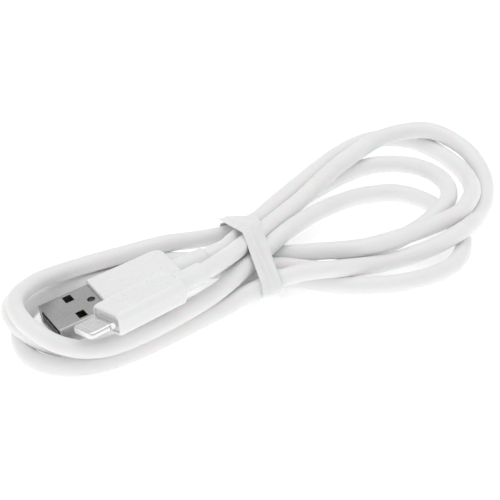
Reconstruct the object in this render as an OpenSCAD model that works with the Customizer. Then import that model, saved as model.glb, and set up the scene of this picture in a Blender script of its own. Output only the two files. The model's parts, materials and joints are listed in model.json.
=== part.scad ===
// Charging cable, folded into a hank and held by a twist tie. A round white cord
// runs from a rectangular host plug with four contacts to a thin two-sided device
// plug with eight. Millimetres, +Z up. The cable rests on Z = 0, +X runs along the
// hank from the plugs to the far loops, and the origin is under the hank's middle.

/* [Cord] */
// Outside diameter of the cord's jacket
cord_d = 3.9; // [3.5:0.1:4]
// Diameter of one insulated wire inside the cord
wire_d = 0.9; // [0.7:0.05:1]

/* [Host plug] */
// Width of the steel shell
shell_w = 12; // [11.8:0.1:12.2]
// Height of the steel shell
shell_h = 4.5; // [4.4:0.1:4.6]
// Length of shell in front of the grip
shell_reach = 11.8; // [11.5:0.1:12.2]
// Thickness of the shell's sheet steel
shell_t = 0.35; // [0.3:0.05:0.4]
// Width of the host plug's grip
host_grip_w = 13.6; // [13.2:0.1:14]
// Height of the host plug's grip
host_grip_h = 6.6; // [6.2:0.1:7]
// Length of the host plug's grip
host_grip_l = 18; // [17:0.5:19]

/* [Device plug] */
// Width of the metal tab
tab_w = 6.7; // [6.5:0.1:6.8]
// Thickness of the metal tab
tab_t = 1.5; // [1.4:0.1:1.6]
// Length of tab in front of the grip
tab_reach = 6.7; // [6.5:0.1:6.9]
// Width of the device plug's grip
device_grip_w = 9.6; // [9.4:0.1:10]
// Height of the device plug's grip
device_grip_h = 5.4; // [5.2:0.1:5.8]
// Length of the device plug's grip
device_grip_l = 18.5; // [17.5:0.5:19]

/* [Strain reliefs] */
// Outside diameter of both reliefs
relief_d = 4.8; // [4.6:0.1:5.2]
// Length of relief behind each grip
relief_l = 7.5; // [7:0.5:8]

/* [Tie] */
// Width of the tie's flat ribbon
tie_w = 4; // [3.5:0.5:5]
// Thickness of the ribbon
tie_t = 0.3; // [0.2:0.05:0.35]
// Diameter of the wire inside the ribbon
tie_wire_d = 0.4; // [0.3:0.05:0.4]

/* [Hidden] */
$fn = 48;

// Moves the whole cable so that the middle of its base is the origin
settle = [-0.5, 1.5, 0];

// Where each plug lies: the centre of its front end, then roll, pitch and yaw
host_at = [-51.8, -11.6, 3];
host_turn = [-4.9, -8.8, 3.8];
device_at = [-51.1, -28.5, 12.4];
device_turn = [-12.6, 0, 17.3];

fit = 0.02;            // clearance of pieces pressed together
slip = 0.2;            // gap between a relief's end and the cord's first ring
lead = 2;              // straight stretch of cord behind each relief
held_l = 1.6;          // length of the relief inside the grip
neck_d = relief_d - 0.5;
seat_skin = 0.5;       // thickness of the grip's wall round the relief's neck
grip_corner = 1.7;     // radius along a grip's long edges
host_rear_corner = 2.6;
device_rear_corner = 1.6;

// Host plug, along its own X from the mouth to the relief's end
host_rear = shell_reach + host_grip_l;
host_end = host_rear + relief_l;
shell_l = shell_reach + 6;
tongue_h = 1.95;                              // the carrier fills the shell's lower half
mouth_w = shell_w - 2 * shell_t - 2 * fit;
mouth_h = shell_h - 2 * shell_t - 2 * fit;
tongue_top = -mouth_h / 2 + tongue_h;
carrier_block = 9.6;                          // where the tongue thickens to a full block
window = [2, 2.5];                            // latch windows, along and across
window_at = [6.2, 3.5];
contact_w = 1;
contact_t = 0.25;
CONTACT_Y = [-3.5, -1, 1, 3.5];
tail_end = shell_l + 1.6;                     // where the contacts' solder tails end
host_core = host_rear - held_l;        // where the cord's jacket is cut back
mould_l = 6.5;

// Device plug, along its own X from the tab's nose to the relief's end
device_rear = tab_reach + device_grip_l;
device_end = device_rear + relief_l;
collar_l = 1.2;
collar_set_back = 0.4;
tab_l = tab_reach + 3.4;
insert_at = 1.3;
insert_l = 3.9;
insert_w = 5.4;
insert_core_t = 0.7;
nose_corner = 1.2;
notch_at = 5.6;
pin_pitch = 0.62;
pin = [2.9, 0.36, 0.12];
pocket = [8, 3.8];                            // inside width and height of the grip
board = [8.2, 5.8, 0.8];
board_at = tab_l + fit;
chip = [2.6, 2.2, 0.6];
can = [9.4, 7.3, 3.2];
can_at = tab_reach + collar_set_back + collar_l + 0.1;
can_t = 0.15;
device_core = device_rear - held_l;

// Where the four wires leave the cord, across and up, inside its jacket
WIRE_BUNDLE = [[-0.6, 0.6], [-0.6, -0.6], [0.6, -0.6], [0.6, 0.6]];

// Tie: its middle, its turn about Z, and the strands it grips, as [along, z] of their
// centres where it crosses them
tie_at = [-2.9, -8];
tie_turn = -7.3;
TIE_STRANDS = [
    [13.4, 3], [9.2, 6.4], [3.6, 8], [-0.2, 8.9], [-10.5, 4.7], [-10.4, 3.5], [-6.2, 2.6]
];
tie_gap = 0.15;                               // slack between the strands and the ribbon
rib_h = 0.5;                                  // how far the wire's rib stands out from that

// The cord's route from the host plug's relief to the device plug's: the first runs lie
// in pairs, cross over each other at both ends of the hank and all pass through the tie
ROUTE = [
    [-9.3, -6.7, 7.9], [-5.4, -3.4, 7], [-1.2, -0.1, 6.3], [11, 8, 6.2], [36, 24, 3.8],
    [45, 26.4, 2.6], [51.5, 24, 2],
    [54.8, 17.2, 2], [56.2, 8, 2.4], [53.8, -2.5, 4.4], [49.5, -9.5, 6.2], [44, -13.6, 6.2],
    [21, -16.4, 6], [11, -12, 4.6], [3, -7, 2.8], [-13, -1.6, 2.4], [-25, 3.8, 2], [-47, 5, 2],
    [-54.8, 1.4, 2.6], [-58.8, -6, 5], [-58.8, -14, 5.8], [-54, -20, 4], [-45, -21.6, 2],
    [-33, -19.8, 2], [-20, -15.6, 2], [-9, -12.8, 2.5], [1, -15.6, 2.8], [12, -22.4, 2],
    [25, -26.8, 2], [37, -25.4, 2], [43, -19, 2], [44.6, -10, 2], [43.6, -2, 2], [39, 4.8, 2],
    [31, 6.4, 2.6], [18, 1.8, 5], [6, -5, 6.7], [-6, -12.4, 6.4], [-20, -20, 5.8],
    [-46, -27, 6], [-54, -24.4, 7.4], [-58.8, -18, 9.4], [-59, -10, 9.8], [-52.4, -2, 7.8],
    [-42, 1.8, 6.3], [-30, 3.2, 5.6], [-19, 3.8, 5.2], [-10, 4.4, 3.6], [2, 5.2, 2.8],
    [30, 16.4, 2], [39, 16.6, 2.6], [46, 10.4, 4], [48.4, 2, 5], [45.6, -6.6, 5.8],
    [38, -11.4, 4.6], [26, -13.2, 2], [12.5, -16, 2], [1, -10.8, 2.8], [-12.5, -5.9, 2.4],
    [-26, 0, 2], [-48, 0.2, 2], [-55.6, -5, 2], [-59.2, -13.5, 2], [-58.6, -20, 2],
    [-53.5, -25, 2], [-44, -26.6, 2], [-17, -19.8, 2], [-8, -17.6, 3], [2, -19.4, 6],
    [12, -20.8, 5.4], [24, -19.4, 2.6], [34, -20.4, 4.2], [43, -19, 5.8], [50, -12.2, 3],
    [56, -5, 2], [60.2, 4, 2], [60.2, 13, 3.6], [54.6, 19.8, 6], [44, 21.4, 6.4],
    [30, 15.8, 6.2], [14, 5.2, 6.4], [2, -2.8, 7.4], [-5.2, -8.2, 8.9],
    [-9.7, -12, 10.2], [-13.8, -15.4, 11.6]
];

// A point of a plug's own frame in the cable's frame
function turned(p, a) = let (
    x1 = p.x, y1 = p.y * cos(a.x) - p.z * sin(a.x), z1 = p.y * sin(a.x) + p.z * cos(a.x),
    x2 = x1 * cos(a.y) + z1 * sin(a.y), z2 = z1 * cos(a.y) - x1 * sin(a.y)
) [x2 * cos(a.z) - y1 * sin(a.z), x2 * sin(a.z) + y1 * cos(a.z), z2];

// The whole route, from one relief's end to the other's
PATH = [for (p = concat(
    [for (x = [slip, slip + lead]) host_at + turned([host_end + x, 0, 0], host_turn)],
    ROUTE,
    [for (x = [slip + lead, slip]) device_at + turned([device_end + x, 0, 0], device_turn)]
)) p + settle];

// Direction of the path at its point i
function unit(v) = v / norm(v);
function heading(path, i) = unit(
    i == 0 ? path[1] - path[0]
    : i == len(path) - 1 ? path[i] - path[i - 1]
    : unit(path[i + 1] - path[i]) + unit(path[i] - path[i - 1])
);

// One ring of the tube: round the path, square to it, with a corner to each side
function ring(path, i, d, sides) = let (
    h = heading(path, i),
    across = unit(cross([0, 0, 1], h)),
    up = cross(h, across)
) [for (k = [0 : sides - 1]) let (a = 360 * (k + 0.5) / sides)
    path[i] + d / 2 * (cos(a) * across + sin(a) * up)];

module tube(path, d, sides) {
    n = len(path);
    points = [for (i = [0 : n - 1]) each ring(path, i, d, sides)];
    walls = [for (i = [0 : n - 2], k = [0 : sides - 1]) let (j = (k + 1) % sides) each [
        [i * sides + k, (i + 1) * sides + k, (i + 1) * sides + j],
        [i * sides + k, (i + 1) * sides + j, i * sides + j]
    ]];
    near_end = [for (k = [0 : sides - 1]) k];
    far_end = [for (k = [sides - 1 : -1 : 0]) (n - 1) * sides + k];
    polyhedron(points, concat(walls, [near_end, far_end]));
}

// A rectangle with round corners
module rounded(w, h, r) {
    square([w - 2 * r, h], center = true);
    square([w, h - 2 * r], center = true);
    for (sx = [-1, 1], sy = [-1, 1])
        translate([sx * (w / 2 - r), sy * (h / 2 - r)]) circle(r);
}

// A bar along X with its round-cornered section across
module bar(l, w, h, r) {
    rotate([90, 0, 90]) linear_extrude(l) rounded(w, h, r);
}

// A block along X, centred across
module block(x, size) {
    translate([x, -size.y / 2, -size.z / 2]) cube(size);
}

// A straight rod between two points
module rod(a, b, d) {
    v = b - a;
    translate(a) rotate([0, acos(v.z / norm(v)), atan2(v.y, v.x)]) cylinder(h = norm(v), d = d);
}

// A grip: round long edges, round rear corners and a square front
module grip_body(front, l, w, h, rear_corner) {
    intersection() {
        translate([front, 0, 0]) bar(l, w, h, grip_corner);
        translate([front + l / 2 - rear_corner, 0, -h]) linear_extrude(2 * h)
            rounded(l + 2 * rear_corner, w, rear_corner);
    }
}

// A relief along X: a sleeve with a neck that the grip's rear wall holds
module relief(rear) {
    translate([rear, 0, 0]) rotate([0, 90, 0]) rotate_extrude() polygon([
        [cord_d / 2 + fit, -held_l], [relief_d / 2, -held_l],
        [relief_d / 2, -seat_skin - fit], [neck_d / 2, -seat_skin - fit], [neck_d / 2, fit],
        [relief_d / 2, fit], [relief_d / 2, relief_l - 0.3], [relief_d / 2 - 0.3, relief_l],
        [cord_d / 2 + fit, relief_l]
    ]);
}

// The hole that a relief and its neck leave in a grip
module relief_seat(rear) {
    translate([rear - held_l - 1, 0, 0]) rotate([0, 90, 0])
        cylinder(h = held_l + 1 - seat_skin, d = relief_d + 2 * fit);
    translate([rear - 1, 0, 0]) rotate([0, 90, 0]) cylinder(h = 2, d = neck_d + 2 * fit);
}

module at_host() {
    translate(settle + host_at) rotate(host_turn) children();
}

module at_device() {
    translate(settle + device_at) rotate(device_turn) children();
}

module cord() {
    color("white") tube(PATH, cord_d, 8);
}

// The bundle's outline where the tie crosses it, grown outwards
module bundle(grow) {
    hull() for (s = TIE_STRANDS) translate(s) circle(d = cord_d + 2 * grow, $fn = 32);
}

// A band of the tie round the bundle, between two distances out from the strands
module tie_band(inner, outer, w) {
    translate(settle + [tie_at.x, tie_at.y, 0]) rotate([0, 0, tie_turn])
        translate([-w / 2, 0, 0]) rotate([90, 0, 90]) linear_extrude(w) difference() {
            bundle(outer);
            bundle(inner);
        }
}

module tie_ribbon() {
    color("whitesmoke") difference() {
        union() {
            tie_band(tie_gap, tie_gap + tie_t, tie_w);
            tie_band(tie_gap, tie_gap + rib_h, tie_wire_d + 0.4);
        }
        tie_band(tie_gap + 0.05, tie_gap + 0.05 + tie_wire_d, tie_wire_d);
    }
}

module tie_wire() {
    color("silver") tie_band(tie_gap + 0.05 + fit, tie_gap + 0.05 + tie_wire_d - fit, tie_wire_d - 2 * fit);
}

module host_shell() {
    color("silver") at_host() difference() {
        bar(shell_l, shell_w, shell_h, 0.6);
        translate([-1, 0, 0])
            bar(shell_l + 2, shell_w - 2 * shell_t, shell_h - 2 * shell_t, 0.3);
        for (side = [-1, 1])
            translate([window_at.x, side * window_at.y, 0])
                cube([window.x, window.y, 2 * shell_h], center = true);
        translate([shell_reach - 1.7, 0, 0]) cylinder(h = shell_h, d = 1.8);
    }
}

module host_contact_carrier() {
    color("gainsboro") at_host() difference() {
        intersection() {
            translate([0.4, 0, 0]) bar(shell_l - 0.4, mouth_w, mouth_h, 0.4);
            union() {
                translate([0, -mouth_w / 2, -mouth_h / 2]) cube([carrier_block + 1, mouth_w, tongue_h]);
                block(carrier_block, [shell_l, mouth_w, mouth_h]);
            }
        }
        for (y = CONTACT_Y)
            translate([0, y - contact_w / 2 - fit, tongue_top - contact_t + 0.05])
                cube([shell_l + 1, contact_w + 2 * fit, contact_t + 0.1]);
    }
}

module host_contacts() {
    color("gold") at_host() for (y = CONTACT_Y)
        translate([1.6, y - contact_w / 2, tongue_top - contact_t + 0.05 + fit])
            cube([tail_end - 1.6, contact_w, contact_t]);
}

// One insulated wire from the cord's end to a contact
module host_wire(i, grow = 0) {
    rod(
        [tail_end + 0.1, CONTACT_Y[i], 0],
        concat([host_core - 0.1], WIRE_BUNDLE[i]),
        wire_d + 2 * grow
    );
}

module host_wire_power() {
    color("red") at_host() host_wire(0);
}

module host_wire_data_minus() {
    color("white") at_host() host_wire(1);
}

module host_wire_data_plus() {
    color("green") at_host() host_wire(2);
}

module host_wire_ground() {
    color("black") at_host() host_wire(3);
}

module host_inner_mould() {
    color("ivory") at_host() difference() {
        translate([host_core - mould_l, 0, 0]) bar(mould_l - 0.2, 10, 4.4, 0.8);
        for (i = [0 : 3]) host_wire(i, fit);
    }
}

module host_grip() {
    color("white") at_host() difference() {
        grip_body(shell_reach, host_grip_l, host_grip_w, host_grip_h, host_rear_corner);
        translate([shell_reach - 1, 0, 0])
            bar(shell_l - shell_reach + 2, shell_w + 2 * fit, shell_h + 2 * fit, 0.6);
        translate([shell_l, 0, 0]) bar(host_core - shell_l, 10.4, 4.8, 0.8);
        relief_seat(host_rear);
    }
}

module host_strain_relief() {
    color("white") at_host() relief(host_rear);
}

module host_cord_end() {
    color("white") at_host() rod([host_core, 0, 0], [host_end, 0, 0], cord_d);
}

module device_tab() {
    color("silver") at_device() difference() {
        intersection() {
            bar(tab_l, tab_w, tab_t, 0.6);
            translate([(tab_l + nose_corner) / 2, 0, -tab_t]) linear_extrude(2 * tab_t)
                rounded(tab_l + nose_corner, tab_w, nose_corner);
        }
        block(insert_at, [insert_l, insert_w, 2 * tab_t]);
        block(insert_at, [tab_l, insert_w, insert_core_t]);
        for (side = [-1, 1])
            translate([notch_at, side * (tab_w / 2 + 0.5), -tab_t]) cylinder(h = 2 * tab_t, r = 0.9);
    }
}

module device_contact_insert() {
    color("dimgray") at_device() difference() {
        union() {
            block(insert_at + fit, [insert_l - 2 * fit, insert_w - 2 * fit, tab_t - 0.1]);
            block(insert_at + 1, [tab_l - insert_at - 1, insert_w - 2 * fit, insert_core_t - 2 * fit]);
        }
        for (side = [-1, 1]) pins(side, fit);
    }
}

// The eight contacts of one face, let into the insert
module pins(side, grow) {
    for (i = [0 : 7])
        translate([
            insert_at + (insert_l - pin.x) / 2 - grow,
            (i - 3.5) * pin_pitch - pin.y / 2 - grow,
            side > 0 ? tab_t / 2 - 0.05 - pin.z : -tab_t / 2 + 0.05 - grow
        ]) cube([pin.x + 2 * grow, pin.y + 2 * grow, pin.z + grow]);
}

module device_contacts_top() {
    color("silver") at_device() pins(1, 0);
}

module device_contacts_bottom() {
    color("silver") at_device() pins(-1, 0);
}

module device_front_collar() {
    color("white") at_device() translate([tab_reach + collar_set_back, 0, 0]) difference() {
        bar(collar_l, pocket.x - 2 * fit, pocket.y - 2 * fit, 0.6);
        translate([-1, 0, 0]) bar(collar_l + 2, tab_w + 2 * fit, tab_t + 2 * fit, 0.6);
    }
}

module device_circuit_board() {
    color("darkgreen") at_device() block(board_at, board);
}

module device_chip() {
    color("black") at_device() translate([board_at + 3, 0, board.z / 2 + chip.z / 2]) block(0, chip);
}

module device_shield_can() {
    color("silver") at_device() translate([can_at, 0, 0]) difference() {
        bar(can.x, can.y, can.z, 0.5);
        translate([-1, 0, 0]) bar(can.x + 2, can.y - 2 * can_t, can.z - 2 * can_t, 0.4);
    }
}

// One insulated wire from the cord's end to the circuit board
module device_wire(i, grow = 0) {
    rod(
        [board_at + board.x + 0.1, (i - 1.5) * 1.3, 0],
        concat([device_core - 0.1], WIRE_BUNDLE[i]),
        wire_d + 2 * grow
    );
}

module device_wire_power() {
    color("red") at_device() device_wire(0);
}

module device_wire_data_minus() {
    color("white") at_device() device_wire(1);
}

module device_wire_data_plus() {
    color("green") at_device() device_wire(2);
}

module device_wire_ground() {
    color("black") at_device() device_wire(3);
}

module device_inner_mould() {
    front = board_at + board.x + 0.6;
    color("ivory") at_device() difference() {
        translate([front, 0, 0]) bar(device_core - 0.2 - front, 7, 3.4, 0.6);
        for (i = [0 : 3]) device_wire(i, fit);
    }
}

module device_grip() {
    color("white") at_device() difference() {
        grip_body(tab_reach, device_grip_l, device_grip_w, device_grip_h, device_rear_corner);
        translate([tab_reach - 1, 0, 0]) bar(device_core - tab_reach + 1, pocket.x, pocket.y, 0.6);
        relief_seat(device_rear);
    }
}

module device_strain_relief() {
    color("white") at_device() relief(device_rear);
}

module device_cord_end() {
    color("white") at_device() rod([device_core, 0, 0], [device_end, 0, 0], cord_d);
}

cord();
tie_ribbon();
tie_wire();
host_shell();
host_contact_carrier();
host_contacts();
host_inner_mould();
host_grip();
host_strain_relief();
host_cord_end();
host_wire_power();
host_wire_data_minus();
host_wire_data_plus();
host_wire_ground();
device_tab();
device_contact_insert();
device_contacts_top();
device_contacts_bottom();
device_front_collar();
device_circuit_board();
device_chip();
device_shield_can();
device_inner_mould();
device_grip();
device_strain_relief();
device_cord_end();
device_wire_power();
device_wire_data_minus();
device_wire_data_plus();
device_wire_ground();
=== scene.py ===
import json
from math import cos, pi, radians, sin, sqrt, tau

import bmesh
import bpy
from mathutils import Matrix, Vector


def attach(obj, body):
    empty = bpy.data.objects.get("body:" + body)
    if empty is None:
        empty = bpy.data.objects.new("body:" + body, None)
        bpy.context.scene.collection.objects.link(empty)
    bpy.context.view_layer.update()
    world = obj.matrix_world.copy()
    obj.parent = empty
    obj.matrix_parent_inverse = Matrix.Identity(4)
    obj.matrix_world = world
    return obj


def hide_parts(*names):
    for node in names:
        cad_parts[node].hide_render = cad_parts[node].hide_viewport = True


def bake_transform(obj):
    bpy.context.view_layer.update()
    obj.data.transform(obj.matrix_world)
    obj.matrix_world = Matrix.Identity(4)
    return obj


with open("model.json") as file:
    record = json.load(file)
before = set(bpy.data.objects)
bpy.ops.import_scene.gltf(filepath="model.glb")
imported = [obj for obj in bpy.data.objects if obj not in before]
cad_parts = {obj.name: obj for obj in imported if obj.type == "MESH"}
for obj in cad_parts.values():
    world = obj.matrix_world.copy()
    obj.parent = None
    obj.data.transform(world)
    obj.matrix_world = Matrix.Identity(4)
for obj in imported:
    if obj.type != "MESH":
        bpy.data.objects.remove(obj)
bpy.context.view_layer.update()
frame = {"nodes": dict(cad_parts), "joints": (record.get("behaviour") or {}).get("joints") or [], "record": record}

# The studio: a white sheet under the cable, a large soft light overhead, a weaker one
# from the left and a dim one from the right, and a camera that looks down from the
# plugs' end of the hank.
camera_azimuth = radians(-24.3)
camera_elevation = radians(35)
camera_distance = 0.6
camera_lens = 194.4
camera_target = Vector((-0.0005, 0.0022, 0))

look_from = Vector((
    sin(camera_azimuth) * cos(camera_elevation),
    -cos(camera_azimuth) * cos(camera_elevation),
    sin(camera_elevation),
))
camera_data = bpy.data.cameras.new("camera")
camera_data.lens = camera_lens
camera_data.clip_start = 0.01
camera = bpy.data.objects.new("camera", camera_data)
camera.location = camera_target + camera_distance * look_from
camera.rotation_euler = look_from.to_track_quat("Z", "Y").to_euler()
bpy.context.scene.collection.objects.link(camera)
bpy.context.scene.camera = camera


def soft_light(name, place, size, power):
    data = bpy.data.lights.new(name, "AREA")
    data.shape = "SQUARE"
    data.size = size
    data.energy = power
    lamp = bpy.data.objects.new(name, data)
    lamp.location = place
    lamp.rotation_euler = Vector(place).to_track_quat("Z", "Y").to_euler()
    bpy.context.scene.collection.objects.link(lamp)


soft_light("overhead", (0.05, 0.12, 0.55), 0.5, 0.7)
soft_light("left", (-0.6, -0.15, 0.35), 0.35, 0.25)
soft_light("right", (0.55, -0.25, 0.3), 0.3, 0.12)

world = bpy.data.worlds.new("studio")
world.use_nodes = True
world.node_tree.nodes["Background"].inputs["Color"].default_value = (1, 1, 1, 1)
world.node_tree.nodes["Background"].inputs["Strength"].default_value = 0.72
bpy.context.scene.world = world
bpy.context.scene.view_settings.view_transform = "Standard"


# Materials. Each one has its colour, gloss and relief varied by noise on the object's
# own coordinates, at the scale that the real surface shows. The white sheet under the
# cable also glows faintly.
def add_node(tree, kind, **inputs):
    made = tree.nodes.new(kind)
    for name, value in inputs.items():
        made.inputs[name.replace("_", " ")].default_value = value
    return made


def noise_value(tree, vector, size, detail=3):
    cloud = add_node(tree, "ShaderNodeTexNoise", Scale=1 / size, Detail=detail)
    tree.links.new(vector, cloud.inputs["Vector"])
    return cloud.outputs["Fac"]


def between(tree, value, low, high):
    spread = tree.nodes.new("ShaderNodeMapRange")
    spread.inputs["From Min"].default_value = 0.3
    spread.inputs["From Max"].default_value = 0.7
    spread.inputs["To Min"].default_value = low
    spread.inputs["To Max"].default_value = high
    tree.links.new(value, spread.inputs["Value"])
    return spread.outputs["Result"]


def blended_colour(tree, value, first, second):
    mix = tree.nodes.new("ShaderNodeMix")
    mix.data_type = "RGBA"
    mix.inputs["A"].default_value = (*first, 1)
    mix.inputs["B"].default_value = (*second, 1)
    tree.links.new(value, mix.inputs["Factor"])
    return mix.outputs["Result"]


def surface(name, light, dark, gloss, patch, grain, relief, stretch=None, **shader):
    """A material: two near colours in patches, a range of roughness, and a fine relief."""
    material = bpy.data.materials.new(name)
    material.use_nodes = True
    tree = material.node_tree
    body = tree.nodes["Principled BSDF"]
    for socket, value in shader.items():
        body.inputs[socket.replace("_", " ")].default_value = value
    place = tree.nodes.new("ShaderNodeTexCoord").outputs["Object"]
    fine = place
    if stretch:
        turn = tree.nodes.new("ShaderNodeMapping")
        turn.inputs["Rotation"].default_value = stretch["turn"]
        turn.inputs["Scale"].default_value = stretch["scale"]
        tree.links.new(place, turn.inputs["Vector"])
        fine = turn.outputs["Vector"]
    patches = between(tree, noise_value(tree, place, patch), 0, 1)
    tree.links.new(blended_colour(tree, patches, light, dark), body.inputs["Base Color"])
    worn = between(tree, noise_value(tree, fine, grain * 3), *gloss)
    tree.links.new(worn, body.inputs["Roughness"])
    bump = add_node(tree, "ShaderNodeBump", Strength=1, Distance=relief)
    tree.links.new(noise_value(tree, fine, grain, 5), bump.inputs["Height"])
    tree.links.new(bump.outputs["Normal"], body.inputs["Normal"])
    return material


floor_sheet = surface(
    "white_sheet", (0.93, 0.93, 0.93), (0.91, 0.91, 0.915), (0.8, 0.95), 0.05, 0.0008, 0.00001,
    Emission_Color=(1, 1, 1, 1), Emission_Strength=0.35,
)
sheet_half = 3
floor = bpy.data.meshes.new("floor")
corners = ((-1, -1), (1, -1), (1, 1), (-1, 1))
floor.from_pydata(
    [(x * sheet_half, y * sheet_half, 0) for x, y in corners], [], [(0, 1, 2, 3)]
)
floor.materials.append(floor_sheet)
floor_object = bpy.data.objects.new("floor", floor)
bpy.context.scene.collection.objects.link(floor_object)

# The cord: one metre of round cable in a soft white elastomer jacket, satin with a
# faint orange-peel skin. It runs from the host plug's relief to the device plug's, in
# turns that lie on each other, all inside the tie.
MM = 0.001
cord_radius = 1.95
settle = Vector((-0.5, 1.5, 0))
ROUTE = [
    (-9.3, -6.7, 7.9), (-5.4, -3.4, 7), (-1.2, -0.1, 6.3), (11, 8, 6.2), (36, 24, 3.8),
    (45, 26.4, 2.6), (51.5, 24, 2),
    (54.8, 17.2, 2), (56.2, 8, 2.4), (53.8, -2.5, 4.4), (49.5, -9.5, 6.2), (44, -13.6, 6.2),
    (21, -16.4, 6), (11, -12, 4.6), (3, -7, 2.8), (-13, -1.6, 2.4), (-25, 3.8, 2), (-47, 5, 2),
    (-54.8, 1.4, 2.6), (-58.8, -6, 5), (-58.8, -14, 5.8), (-54, -20, 4), (-45, -21.6, 2),
    (-33, -19.8, 2), (-20, -15.6, 2), (-9, -12.8, 2.5), (1, -15.6, 2.8), (12, -22.4, 2),
    (25, -26.8, 2), (37, -25.4, 2), (43, -19, 2), (44.6, -10, 2), (43.6, -2, 2), (39, 4.8, 2),
    (31, 6.4, 2.6), (18, 1.8, 5), (6, -5, 6.7), (-6, -12.4, 6.4), (-20, -20, 5.8),
    (-46, -27, 6), (-54, -24.4, 7.4), (-58.8, -18, 9.4), (-59, -10, 9.8), (-52.4, -2, 7.8),
    (-42, 1.8, 6.3), (-30, 3.2, 5.6), (-19, 3.8, 5.2), (-10, 4.4, 3.6), (2, 5.2, 2.8),
    (30, 16.4, 2), (39, 16.6, 2.6), (46, 10.4, 4), (48.4, 2, 5), (45.6, -6.6, 5.8),
    (38, -11.4, 4.6), (26, -13.2, 2), (12.5, -16, 2), (1, -10.8, 2.8), (-12.5, -5.9, 2.4),
    (-26, 0, 2), (-48, 0.2, 2), (-55.6, -5, 2), (-59.2, -13.5, 2), (-58.6, -20, 2),
    (-53.5, -25, 2), (-44, -26.6, 2), (-17, -19.8, 2), (-8, -17.6, 3), (2, -19.4, 6),
    (12, -20.8, 5.4), (24, -19.4, 2.6), (34, -20.4, 4.2), (43, -19, 5.8), (50, -12.2, 3),
    (56, -5, 2), (60.2, 4, 2), (60.2, 13, 3.6), (54.6, 19.8, 6), (44, 21.4, 6.4),
    (30, 15.8, 6.2), (14, 5.2, 6.4), (2, -2.8, 7.4), (-5.2, -8.2, 8.9),
    (-9.7, -12, 10.2), (-13.8, -15.4, 11.6),
]


def plug_frame(plug):
    """The plug's own axes, in millimetres: +X from its front end to the cord, +Y across."""
    mount = next(m for m in frame["record"]["mounts"] if m["name"] == plug)
    joint = next(j for j in frame["joints"] if j["child"] == plug)
    along = -Vector(mount["axis"]).normalized()
    up = along.cross(Vector(joint["axis"])).normalized()
    across = up.cross(along)
    axes = Matrix((along, across, up)).transposed().to_4x4()
    return Matrix.Translation(mount["pos_m"]) @ axes @ Matrix.Scale(MM, 4)


def smooth_path(points, step):
    """A curve through the points, as centripetal spans cut into short steps."""
    points = [2 * points[0] - points[1], *points, 2 * points[-1] - points[-2]]
    path = []
    for p0, p1, p2, p3 in zip(points, points[1:], points[2:], points[3:]):
        t1 = sqrt((p1 - p0).length)
        t2 = t1 + sqrt((p2 - p1).length)
        t3 = t2 + sqrt((p3 - p2).length)
        steps = max(2, round((p2 - p1).length / step))
        for k in range(steps):
            t = t1 + (t2 - t1) * k / steps
            a1 = p0.lerp(p1, t / t1)
            a2 = p1.lerp(p2, (t - t1) / (t2 - t1))
            a3 = p2.lerp(p3, (t - t2) / (t3 - t2))
            b1 = a1.lerp(a2, t / t2)
            b2 = a2.lerp(a3, (t - t1) / (t3 - t1))
            path.append(b1.lerp(b2, (t - t1) / (t2 - t1)))
    path.append(points[-2])
    for point in path:
        point.z = max(point.z, cord_radius * MM)
    return path


def sweep_tree():
    """Geometry nodes that sweep a round section along a curve, with closed ends."""
    tree = bpy.data.node_groups.new("sweep", "GeometryNodeTree")
    tree.interface.new_socket("Geometry", in_out="OUTPUT", socket_type="NodeSocketGeometry")
    for name, kind in (
        ("Geometry", "NodeSocketGeometry"), ("Radius", "NodeSocketFloat"),
        ("Sides", "NodeSocketInt"), ("Material", "NodeSocketMaterial"),
    ):
        tree.interface.new_socket(name, in_out="INPUT", socket_type=kind)
    given = tree.nodes.new("NodeGroupInput")
    result = tree.nodes.new("NodeGroupOutput")
    section = tree.nodes.new("GeometryNodeCurvePrimitiveCircle")
    skin = add_node(tree, "GeometryNodeCurveToMesh", Fill_Caps=True)
    smooth = tree.nodes.new("GeometryNodeSetShadeSmooth")
    real = tree.nodes.new("GeometryNodeRealizeInstances")
    coat = tree.nodes.new("GeometryNodeSetMaterial")
    join = tree.links.new
    join(given.outputs["Radius"], section.inputs["Radius"])
    join(given.outputs["Sides"], section.inputs["Resolution"])
    join(given.outputs["Geometry"], skin.inputs["Curve"])
    join(section.outputs["Curve"], skin.inputs["Profile Curve"])
    join(skin.outputs["Mesh"], smooth.inputs["Geometry"])
    join(smooth.outputs["Geometry"], real.inputs["Geometry"])
    join(real.outputs["Geometry"], coat.inputs["Geometry"])
    join(given.outputs["Material"], coat.inputs["Material"])
    join(coat.outputs["Geometry"], result.inputs["Geometry"])
    return tree


def run_tree(source, tree, name, **inputs):
    """The plain mesh that a geometry node tree makes of a source object."""
    modifier = source.modifiers.new("made", "NODES")
    modifier.node_group = tree
    for socket in tree.interface.items_tree:
        if socket.item_type == "SOCKET" and socket.in_out == "INPUT" and socket.name in inputs:
            modifier[socket.identifier] = inputs[socket.name]
    bpy.context.scene.collection.objects.link(source)
    now = bpy.context.evaluated_depsgraph_get()
    mesh = bpy.data.meshes.new_from_object(source.evaluated_get(now))
    bpy.data.objects.remove(source)
    piece = bpy.data.objects.new(name, mesh)
    bpy.context.scene.collection.objects.link(piece)
    return piece


def line_curve(points, cyclic=False):
    data = bpy.data.curves.new("line", "CURVE")
    data.dimensions = "3D"
    spline = data.splines.new("POLY")
    spline.points.add(len(points) - 1)
    spline.points.foreach_set("co", [c for p in points for c in (*p, 1)])
    spline.use_cyclic_u = cyclic
    return bpy.data.objects.new("line", data)


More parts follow.
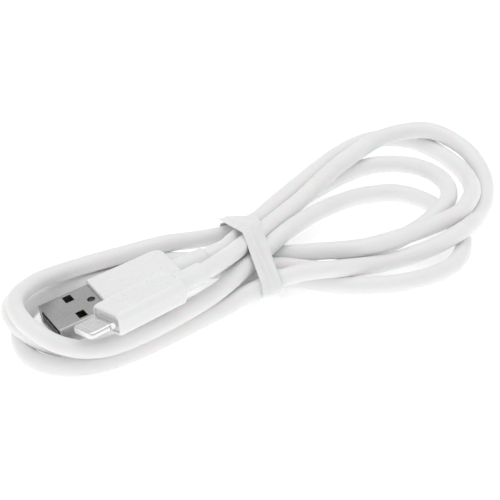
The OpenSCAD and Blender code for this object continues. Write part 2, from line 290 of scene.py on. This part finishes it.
host = plug_frame("host_plug")
device = plug_frame("device_plug")
host_end = 37.3
device_end = 32.7
straight_lead = 2.2
path_step = 1.0
cord_jacket = surface(
    "cord_jacket", (0.9, 0.9, 0.9), (0.87, 0.87, 0.873), (0.36, 0.46), 0.012, 0.00022,
    0.000004, IOR=1.47, Subsurface_Weight=0.2, Subsurface_Scale=0.001, Coat_Weight=0.1,
    Coat_Roughness=0.3,
)
sweep = sweep_tree()
cord_points = [host @ Vector((host_end + x, 0, 0)) for x in (0, straight_lead)]
cord_points += [(Vector(p) + settle) * MM for p in ROUTE]
cord_points += [device @ Vector((device_end + x, 0, 0)) for x in (straight_lead, 0)]
cord_path = smooth_path(cord_points, path_step * MM)
cord = run_tree(
    line_curve(cord_path), sweep, "cable_cord", Radius=cord_radius * MM, Sides=24,
    Material=cord_jacket,
)
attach(cord, "cord")
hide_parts("cord")


# Shapes for the moulded and pressed pieces of both plugs. A ring is a rectangle with
# round corners across the plug's own X axis, in millimetres; a piece is a skin over
# rings, either closed at its ends or turned in on itself as a hollow shell.
def ring(x, width, height, corner, arc=6):
    points = []
    for quarter, (sy, sz) in enumerate(((1, 1), (-1, 1), (-1, -1), (1, -1))):
        middle_y = sy * (width / 2 - corner)
        middle_z = sz * (height / 2 - corner)
        for k in range(arc + 1):
            a = (quarter + k / arc) * pi / 2
            points.append(Vector((x, middle_y + corner * cos(a), middle_z + corner * sin(a))))
    return points


def skin(name, rings, place, material, hollow=False, crease=35):
    count = len(rings[0])
    mesh = bpy.data.meshes.new(name)
    spans = len(rings) if hollow else len(rings) - 1
    faces = [
        (
            i * count + k, i * count + (k + 1) % count,
            (i + 1) % len(rings) * count + (k + 1) % count, (i + 1) % len(rings) * count + k,
        )
        for i in range(spans) for k in range(count)
    ]
    if not hollow:
        faces += [tuple(range(count)), tuple((len(rings) - 1) * count + k for k in range(count))]
    mesh.from_pydata([place @ p for r in rings for p in r], [], faces)
    tidy = bmesh.new()
    tidy.from_mesh(mesh)
    bmesh.ops.remove_doubles(tidy, verts=tidy.verts, dist=0.001 * MM)
    bmesh.ops.recalc_face_normals(tidy, faces=tidy.faces)
    tidy.to_mesh(mesh)
    tidy.free()
    mesh.materials.append(material)
    mesh.shade_smooth()
    mesh.set_sharp_from_angle(angle=radians(crease))
    piece = bpy.data.objects.new(name, mesh)
    bpy.context.scene.collection.objects.link(piece)
    return piece


def cut(piece, cutters):
    """Takes the cutters out of the piece and leaves a plain mesh."""
    for cutter in cutters:
        modifier = piece.modifiers.new("cut", "BOOLEAN")
        modifier.operation = "DIFFERENCE"
        modifier.solver = "EXACT"
        modifier.object = cutter
    now = bpy.context.evaluated_depsgraph_get()
    mesh = bpy.data.meshes.new_from_object(piece.evaluated_get(now))
    piece.modifiers.clear()
    piece.data = mesh
    for cutter in cutters:
        bpy.data.objects.remove(cutter)
    mesh.set_sharp_from_angle(angle=radians(35))


def round_edge(edge, steps=5):
    """Pairs of how far along and how far in, round a quarter-circle edge."""
    for k in range(steps + 1):
        a = k / steps * pi / 2
        yield edge * (1 - cos(a)), edge * (1 - sin(a))


def settled(piece, body, slot, *nodes):
    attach(piece, body)
    if nodes:
        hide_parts(*nodes)


# Grips: white hard-plastic mouldings with round long edges and, at the cord's end, round
# corners. Each is a hollow shell that is open in front for the metal and behind for the
# relief. The gloss is broken by the faint texture of the mould.
grip_white = surface(
    "grip_plastic", (0.9, 0.9, 0.9), (0.875, 0.875, 0.878), (0.26, 0.34), 0.008, 0.0005,
    0.0000003, IOR=1.49, Subsurface_Weight=0.06, Subsurface_Scale=0.001, Coat_Weight=0.25,
    Coat_Roughness=0.2,
)
relief_diameter = 4.8
neck_diameter = 4.3
held_length = 1.6
host_front = 11.8
host_rear = 29.8
device_front = 6.7
device_rear = 25.2


def grip_rings(front, rear, width, height, front_edge, rear_corner, opening, pocket):
    """Outside from front to rear, then the inside back to the front."""
    corner = 1.7
    rear_edge = 0.9
    rings = [
        ring(front + along, width - 2 * inward, height - 2 * inward, corner - inward)
        for along, inward in round_edge(front_edge)
    ]
    for k in range(11):
        b = k / 10 * pi / 2
        x = rear - rear_corner + rear_corner * sin(b)
        narrower = rear_corner * (1 - cos(b))
        t = max(0, (x - rear + rear_edge) / rear_edge)
        lower = rear_edge * (1 - sqrt(max(0, 1 - t * t)))
        across = width - 2 * narrower
        upright = height - 2 * lower
        rings.append(ring(x, across, upright, min(corner, upright / 2)))
    hole = neck_diameter + 0.05
    seat = relief_diameter + 0.05
    core = rear - held_length
    rings += [ring(x, hole, hole, hole / 2) for x in (rear, rear - 0.5)]
    rings += [ring(x, seat, seat, seat / 2) for x in (rear - 0.5, core)]
    rings += [ring(x, *pocket) for x in (core, opening[0])]
    rings += [ring(x, *opening[1:]) for x in (opening[0], front + 0.1)]
    rings.append(ring(front, opening[1] + 0.1, opening[2] + 0.1, opening[3] + 0.05))
    return rings


shell_pocket = (17.9, 12.06, 4.56, 0.63)
host_grip = skin(
    "host_plug_grip",
    grip_rings(
        host_front, host_rear, width=13.6, height=6.6, front_edge=0.3, rear_corner=2.6,
        opening=shell_pocket, pocket=(10.4, 4.8, 0.8),
    ),
    host, grip_white, hollow=True,
)
settled(host_grip, "host_plug", "grip_plastic", "host_grip")
device_grip = skin(
    "device_plug_grip",
    grip_rings(
        device_front, device_rear, width=9.6, height=5.4, front_edge=0.72, rear_corner=1.6,
        opening=(7.3, 8, 3.8, 0.6), pocket=(8, 3.8, 0.6),
    ),
    device, grip_white, hollow=True,
)
settled(device_grip, "device_plug", "grip_plastic", "device_grip")

# Strain reliefs: soft sleeves moulded round the cord, each held by its neck in the grip. Each sleeve, and the
# short end of cord inside it, is made of short rings.
relief_white = surface(
    "relief_elastomer", (0.89, 0.89, 0.89), (0.86, 0.86, 0.863), (0.4, 0.52), 0.006, 0.00025,
    0.000006, IOR=1.47, Subsurface_Weight=0.08, Subsurface_Scale=0.001,
)


def turned(name, profile, place, material, hollow=True):
    """A round piece about the plug's axis, with a ring at least every half millimetre."""
    rings = []
    for (x0, r0), (x1, r1) in zip(profile, profile[1:] + profile[:1] * hollow):
        steps = max(1, round(abs(x1 - x0) / 0.5))
        for k in range(steps):
            x = x0 + (x1 - x0) * k / steps
            r = r0 + (r1 - r0) * k / steps
            rings.append(ring(x, 2 * r, 2 * r, r, arc=8))
    if not hollow:
        x, r = profile[-1]
        rings.append(ring(x, 2 * r, 2 * r, r, arc=8))
    return skin(name, rings, place, material, hollow)


def bending_end(plug, place, rear, end):
    core = rear - held_length
    bore = cord_radius + 0.02
    outside = relief_diameter / 2
    neck = neck_diameter / 2
    profile = [
        (core, bore), (core, outside), (rear - 0.52, outside), (rear - 0.52, neck),
        (rear + 0.02, neck), (rear + 0.02, outside), (end - 0.5, outside),
        (end - 0.25, outside - 0.06), (end - 0.06, outside - 0.22), (end, outside - 0.4),
        (end, bore),
    ]
    sleeve = turned(f"{plug}_relief_sleeve", profile, place, relief_white)
    core_cord = turned(
        f"{plug}_inner_cord", [(core, cord_radius), (end, cord_radius)], place, cord_jacket,
        hollow=False,
    )
    for piece, slot, node in (
        (sleeve, "relief_rubber", f"{plug}_strain_relief"),
        (core_cord, "cord_jacket", f"{plug}_cord_end"),
    ):
        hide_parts(node)
        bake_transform(piece)
    return sleeve


host_relief = bending_end("host", host, host_rear, host_end)
device_relief = bending_end("device", device, device_rear, device_end)

# Host plug's shell: nickel-plated sheet steel folded into a flat tube, with two latch
# windows in each broad face for the socket's springs and a round hole near the grip.
# It is pressed and plated, with a faint grain along its length.
steel_turn = {"turn": (0, 0, radians(-4)), "scale": (0.12, 1, 1)}
plated_steel = surface(
    "plated_steel", (0.5, 0.5, 0.503), (0.45, 0.45, 0.455), (0.24, 0.36), 0.004, 0.00012,
    0.0000004, stretch=steel_turn, Metallic=1,
)
shell_width = 12
shell_height = 4.5
shell_sheet = 0.35
shell_length = 17.8
shell_rings = [
    ring(along * 0.5, shell_width - inward, shell_height - inward, 0.6 - inward / 2)
    for along, inward in round_edge(0.16, 3)
]
shell_rings.append(ring(shell_length, shell_width, shell_height, 0.6))
inside = (shell_width - 2 * shell_sheet, shell_height - 2 * shell_sheet, 0.3)
shell_rings += [ring(x, *inside) for x in (shell_length, 0.12)]
shell_rings.append(ring(0, inside[0] + 0.16, inside[1] + 0.16, 0.38))
host_shell = skin("host_plug_shell", shell_rings, host, plated_steel, hollow=True)


def block(name, low, high, corner, place, material):
    """A block between two corners of the plug's frame, round across Z."""
    middle = (Vector(low) + Vector(high)) / 2
    size = Vector(high) - Vector(low)
    upright = place @ Matrix.Translation(middle) @ Matrix.Rotation(-pi / 2, 4, "Y")
    rings = [ring(x, size.y, size.x, corner, arc=3) for x in (-size.z / 2, size.z / 2)]
    return skin(name, rings, upright, material)


window_start = 5.2
window_length = 2
window_half_width = 1.25
window_side = 3.5
window_height = 2.6
windows = [
    block(
        "window",
        (window_start, side * window_side - window_half_width, face * window_height - 1),
        (
            window_start + window_length, side * window_side + window_half_width,
            face * window_height + 1,
        ),
        0.15, host, plated_steel,
    )
    for side in (-1, 1) for face in (-1, 1)
]
hole_place = 10.1
hole_radius = 0.9
round_hole_place = host @ Matrix.Translation((hole_place, 0, 1.5)) @ Matrix.Rotation(-pi / 2, 4, "Y")
round_hole = turned(
    "round_hole", [(0, hole_radius), (2, hole_radius)], round_hole_place, plated_steel,
    hollow=False,
)
cut(host_shell, windows + [round_hole])
settled(host_shell, "host_plug", "plated_steel", "host_shell")


# Host plug's insides: a black moulded carrier whose tongue fills the lower half of the
# shell, four gold-plated blades let into its top, and a moulded block behind it that
# holds the four wires. They are pressed or moulded in place.
def finish_node(material, *nodes):
    """Gives CAD pieces that keep their own shape a better material."""
    for node in nodes:
        for place in frame["nodes"][node].material_slots:
            place.material = material


def row_tree():
    """Geometry nodes that set one blade on each point of a mesh."""
    tree = bpy.data.node_groups.new("row", "GeometryNodeTree")
    tree.interface.new_socket("Geometry", in_out="OUTPUT", socket_type="NodeSocketGeometry")
    for name, kind in (
        ("Geometry", "NodeSocketGeometry"), ("Blade", "NodeSocketObject"),
        ("Material", "NodeSocketMaterial"),
    ):
        tree.interface.new_socket(name, in_out="INPUT", socket_type=kind)
    given = tree.nodes.new("NodeGroupInput")
    result = tree.nodes.new("NodeGroupOutput")
    spots = tree.nodes.new("GeometryNodeMeshToPoints")
    blade = tree.nodes.new("GeometryNodeObjectInfo")
    row = tree.nodes.new("GeometryNodeInstanceOnPoints")
    real = tree.nodes.new("GeometryNodeRealizeInstances")
    coat = tree.nodes.new("GeometryNodeSetMaterial")
    join = tree.links.new
    join(given.outputs["Geometry"], spots.inputs["Mesh"])
    join(given.outputs["Blade"], blade.inputs["Object"])
    join(spots.outputs["Points"], row.inputs["Points"])
    join(blade.outputs["Geometry"], row.inputs["Instance"])
    join(row.outputs["Instances"], real.inputs["Geometry"])
    join(real.outputs["Geometry"], coat.inputs["Geometry"])
    join(given.outputs["Material"], coat.inputs["Material"])
    join(coat.outputs["Geometry"], result.inputs["Geometry"])
    return tree


def contact_row(name, size, corner, places, plug, material):
    """Flat blades with rounded ends, the low front corner of each size at its place."""
    low = Vector((0, 0, 0))
    blade = block("blade", low, Vector(size), corner, Matrix.Identity(4), material)
    points = bpy.data.meshes.new("points")
    points.from_pydata(places, [], [])
    spots = bpy.data.objects.new("points", points)
    contacts = run_tree(spots, contact_rows, name, Blade=blade, Material=material)
    bpy.data.objects.remove(blade)
    contacts.data.transform(plug)
    return contacts


contact_rows = row_tree()
gold_plate = surface(
    "gold_plate", (0.83, 0.66, 0.33), (0.75, 0.57, 0.26), (0.18, 0.3), 0.002, 0.00015,
    0.000001, Metallic=1,
)
carrier_plastic = surface(
    "carrier_plastic", (0.06, 0.06, 0.06), (0.045, 0.045, 0.046), (0.45, 0.6), 0.003, 0.0002,
    0.000003, IOR=1.5,
)
inner_plastic = surface(
    "inner_plastic", (0.72, 0.69, 0.58), (0.66, 0.63, 0.52), (0.5, 0.7), 0.003, 0.00025,
    0.000005, IOR=1.5, Subsurface_Weight=0.05, Subsurface_Scale=0.001,
)
host_contacts = contact_row(
    "host_plug_contacts", size=(17.8, 1, 0.25), corner=0.12,
    places=[(1.6, y - 0.5, 0.05) for y in (-3.5, -1, 1, 3.5)], plug=host,
    material=gold_plate,
)
settled(host_contacts, "host_plug", "gold_plate", "host_contacts")
finish_node(carrier_plastic, "host_contact_carrier")
finish_node(inner_plastic, "host_inner_mould", "device_inner_mould")

# Wires: four insulated conductors in each plug, red and black for power and ground and
# white and green for data, fanned out from the cord's end to the contacts' tails.
for colour, light, dark, wire in (
    ("red", (0.62, 0.05, 0.04), (0.5, 0.035, 0.03), "power"),
    ("white", (0.8, 0.8, 0.79), (0.73, 0.73, 0.72), "data_minus"),
    ("green", (0.05, 0.36, 0.1), (0.035, 0.28, 0.075), "data_plus"),
    ("black", (0.03, 0.03, 0.03), (0.018, 0.018, 0.02), "ground"),
):
    insulation = surface(
        f"wire_{colour}", light, dark, (0.4, 0.55), 0.002, 0.00012, 0.000002, IOR=1.5
    )
    finish_node(insulation, f"host_wire_{wire}", f"device_wire_{wire}")

# Device plug's tab: a bright plated steel frame, rounded at the nose, with a window in
# each face for the contacts and a shallow notch in each edge that the socket's springs
# catch. It is pressed and polished, and ends inside the grip.
polished_steel = surface(
    "polished_steel", (0.83, 0.83, 0.832), (0.77, 0.77, 0.775), (0.16, 0.28), 0.003, 0.0001,
    0.000001, Metallic=1,
)
tab_width = 6.7
tab_thickness = 1.5
tab_length = 10.1
nose_corner = 1.2
nose_edge = 0.3
notch_radius = 0.9
tab_rings = []
for k in range(13):
    b = k / 12 * pi / 2
    x = nose_corner * (1 - cos(b))
    narrower = nose_corner * (1 - sin(b))
    t = max(0, 1 - x / nose_edge)
    thinner = nose_edge * (1 - sqrt(1 - t * t))
    thick = tab_thickness - 2 * thinner
    tab_rings.append(ring(x, tab_width - 2 * narrower, thick, min(0.6, thick / 2)))
tab_rings.append(ring(tab_length, tab_width, tab_thickness, 0.6))
device_tab = skin("device_plug_tab", tab_rings, device, polished_steel)
tab_window = block("window", (1.3, -2.7, -1.5), (5.2, 2.7, 1.5), 0.4, device, polished_steel)
tab_core = block(
    "core", (1.6, -2.68, -0.35), (tab_length + 0.1, 2.68, 0.35), 0.1, device, polished_steel
)
notches = [
    turned(
        "notch", [(-1.5, notch_radius), (1.5, notch_radius)],
        device @ Matrix.Translation((5.6, side * 3.85, 0)) @ Matrix.Rotation(-pi / 2, 4, "Y"),
        polished_steel, hollow=False,
    )
    for side in (-1, 1)
]
cut(device_tab, [tab_window, tab_core, *notches])
settled(device_tab, "device_plug", "polished_steel", "device_tab")

# Device plug's contacts: a moulded insert fills the tab's windows and runs back through
# the tab, with a row of eight blades, plated a pale bright metal, let into each face.
insert_plastic = surface(
    "insert_plastic", (0.74, 0.74, 0.74), (0.7, 0.7, 0.705), (0.3, 0.42), 0.002, 0.00015,
    0.000002, IOR=1.5,
)
contact_plate = surface(
    "contact_plate", (0.88, 0.87, 0.85), (0.8, 0.79, 0.77), (0.2, 0.32), 0.002, 0.0001,
    0.0000005, Metallic=1,
)
finish_node(insert_plastic, "device_contact_insert")
contact_pitch = 0.62
for face, low in (("top", 0.58), ("bottom", -0.7)):
    contacts = contact_row(
        f"device_plug_contacts_{face}", size=(2.9, 0.36, 0.12), corner=0.17,
        places=[(1.8, (i - 3.5) * contact_pitch - 0.18, low) for i in range(8)],
        plug=device, material=contact_plate,
    )
    settled(contacts, "device_plug", "polished_steel", f"device_contacts_{face}")

# Device plug's insides: a white collar round the tab closes the grip's front; behind it
# are a green circuit board with one black chip, and a folded steel can over both.
collar_white = surface(
    "collar_plastic", (0.82, 0.82, 0.82), (0.79, 0.79, 0.795), (0.35, 0.48), 0.004, 0.0002,
    0.000003, IOR=1.49,
)
board_green = surface(
    "board_laminate", (0.05, 0.23, 0.12), (0.025, 0.13, 0.065), (0.25, 0.4), 0.0009, 0.0003,
    0.000008, IOR=1.5,
)
chip_black = surface(
    "chip_epoxy", (0.035, 0.035, 0.037), (0.02, 0.02, 0.021), (0.5, 0.65), 0.0008, 0.00008,
    0.000002, IOR=1.5,
)
finish_node(collar_white, "device_front_collar")
finish_node(board_green, "device_circuit_board")
finish_node(chip_black, "device_chip")
finish_node(plated_steel, "device_shield_can")

# Tie: a flat white plastic ribbon with a soft iron wire along its middle, wound twice
# round all the strands. The turns lie on each other on the near side and fan out on
# the far side, where the ribbon's end stands up a little.
tie_white = surface(
    "tie_plastic", (0.88, 0.88, 0.875), (0.84, 0.84, 0.835), (0.38, 0.5), 0.004, 0.00025,
    0.000008, IOR=1.5, Subsurface_Weight=0.1, Subsurface_Scale=0.001,
)
tie_iron = surface(
    "tie_steel", (0.55, 0.55, 0.55), (0.45, 0.45, 0.45), (0.35, 0.5), 0.002, 0.0001,
    0.000002, Metallic=1,
)
tie_strands = [
    (Vector((0, along, z)), Vector((1, drift, rise))) for along, z, drift, rise in (
        (13.1, 3.1, 0.2, -0.1), (7.3, 6.5, 0.9, -0.1), (1.7, 8.4, 0.95, -0.22),
        (-10.4, 4.1, -0.05, 0.3), (-6.3, 2.65, -0.1, 0), (3, 2.65, -0.1, 0),
    )
]
tie_near = -12.45
tie_far = 15.35
tie_thickness = 0.28
tie_spread = 1.7
tie_turns = 2.03
tie_steps = 250
tie_start = radians(50)


def eased(value, low, high):
    t = min(1, max(0, (value - low) / (high - low)))
    return t * t * (3 - 2 * t)


def tie_place(turn, side, lift):
    """A point of the ribbon after so many turns, so far to the side and so far out."""
    a = tie_start - turn * tau
    out = Vector((0, cos(a), sin(a)))
    strand, drift = max(tie_strands, key=lambda s: s[0].dot(out))
    layer = 0.02 + 0.3 * eased(turn, 0.8, 0.95) + 0.28 * eased(turn, 1.52, 1.62)
    layer += 0.3 * eased(turn, 1.8, 1.95) + 0.3 * eased(turn, 1.99, 2.03)
    middle = strand + (cord_radius + layer) * out
    lean = tie_spread if 0.64 < turn < 1.64 else -tie_spread
    across = side + lean * (middle.y - tie_near) / (tie_far - tie_near)
    if out.z > -0.3:
        middle += across * drift * Vector((0, 1, 1)) * eased(out.z, -0.3, 0.1)
    return Vector((across, middle.y, middle.z)) + lift * out


tie_rings = []
tie_line = []
for k in range(tie_steps + 1):
    turn = k / tie_steps * tie_turns
    a = tie_start - turn * tau
    rib = 0.2 * eased(sin(a), -0.5, 0) * eased(turn, 0.3, 0.7)
    tie_line.append(tie_place(turn, 0, 0.14))
    flat = [(2, 0), (2, 0.2), (1.92, tie_thickness), (0.5, tie_thickness)]
    half = flat + [(0.25, tie_thickness + 0.8 * rib)]
    section = half + [(0, tie_thickness + rib)] + [(-u, h) for u, h in reversed(half)]
    tie_rings.append([tie_place(turn, u, h) for u, h in section])
tie_frame = Matrix.Translation(settle + Vector((-2.9, -8, 0)))
tie_frame = Matrix.Scale(MM, 4) @ tie_frame @ Matrix.Rotation(radians(-7.3), 4, "Z")
tie_ribbon = skin("tie_ribbon_wound", tie_rings, tie_frame, tie_white)
settled(tie_ribbon, "cord", "tie_plastic", "tie_ribbon")
tie_core = run_tree(
    line_curve([tie_frame @ p for p in tie_line]), sweep, "tie_wire_wound",
    Radius=0.12 * MM, Sides=10, Material=tie_iron,
)
settled(tie_core, "cord", "tie_steel", "tie_wire")
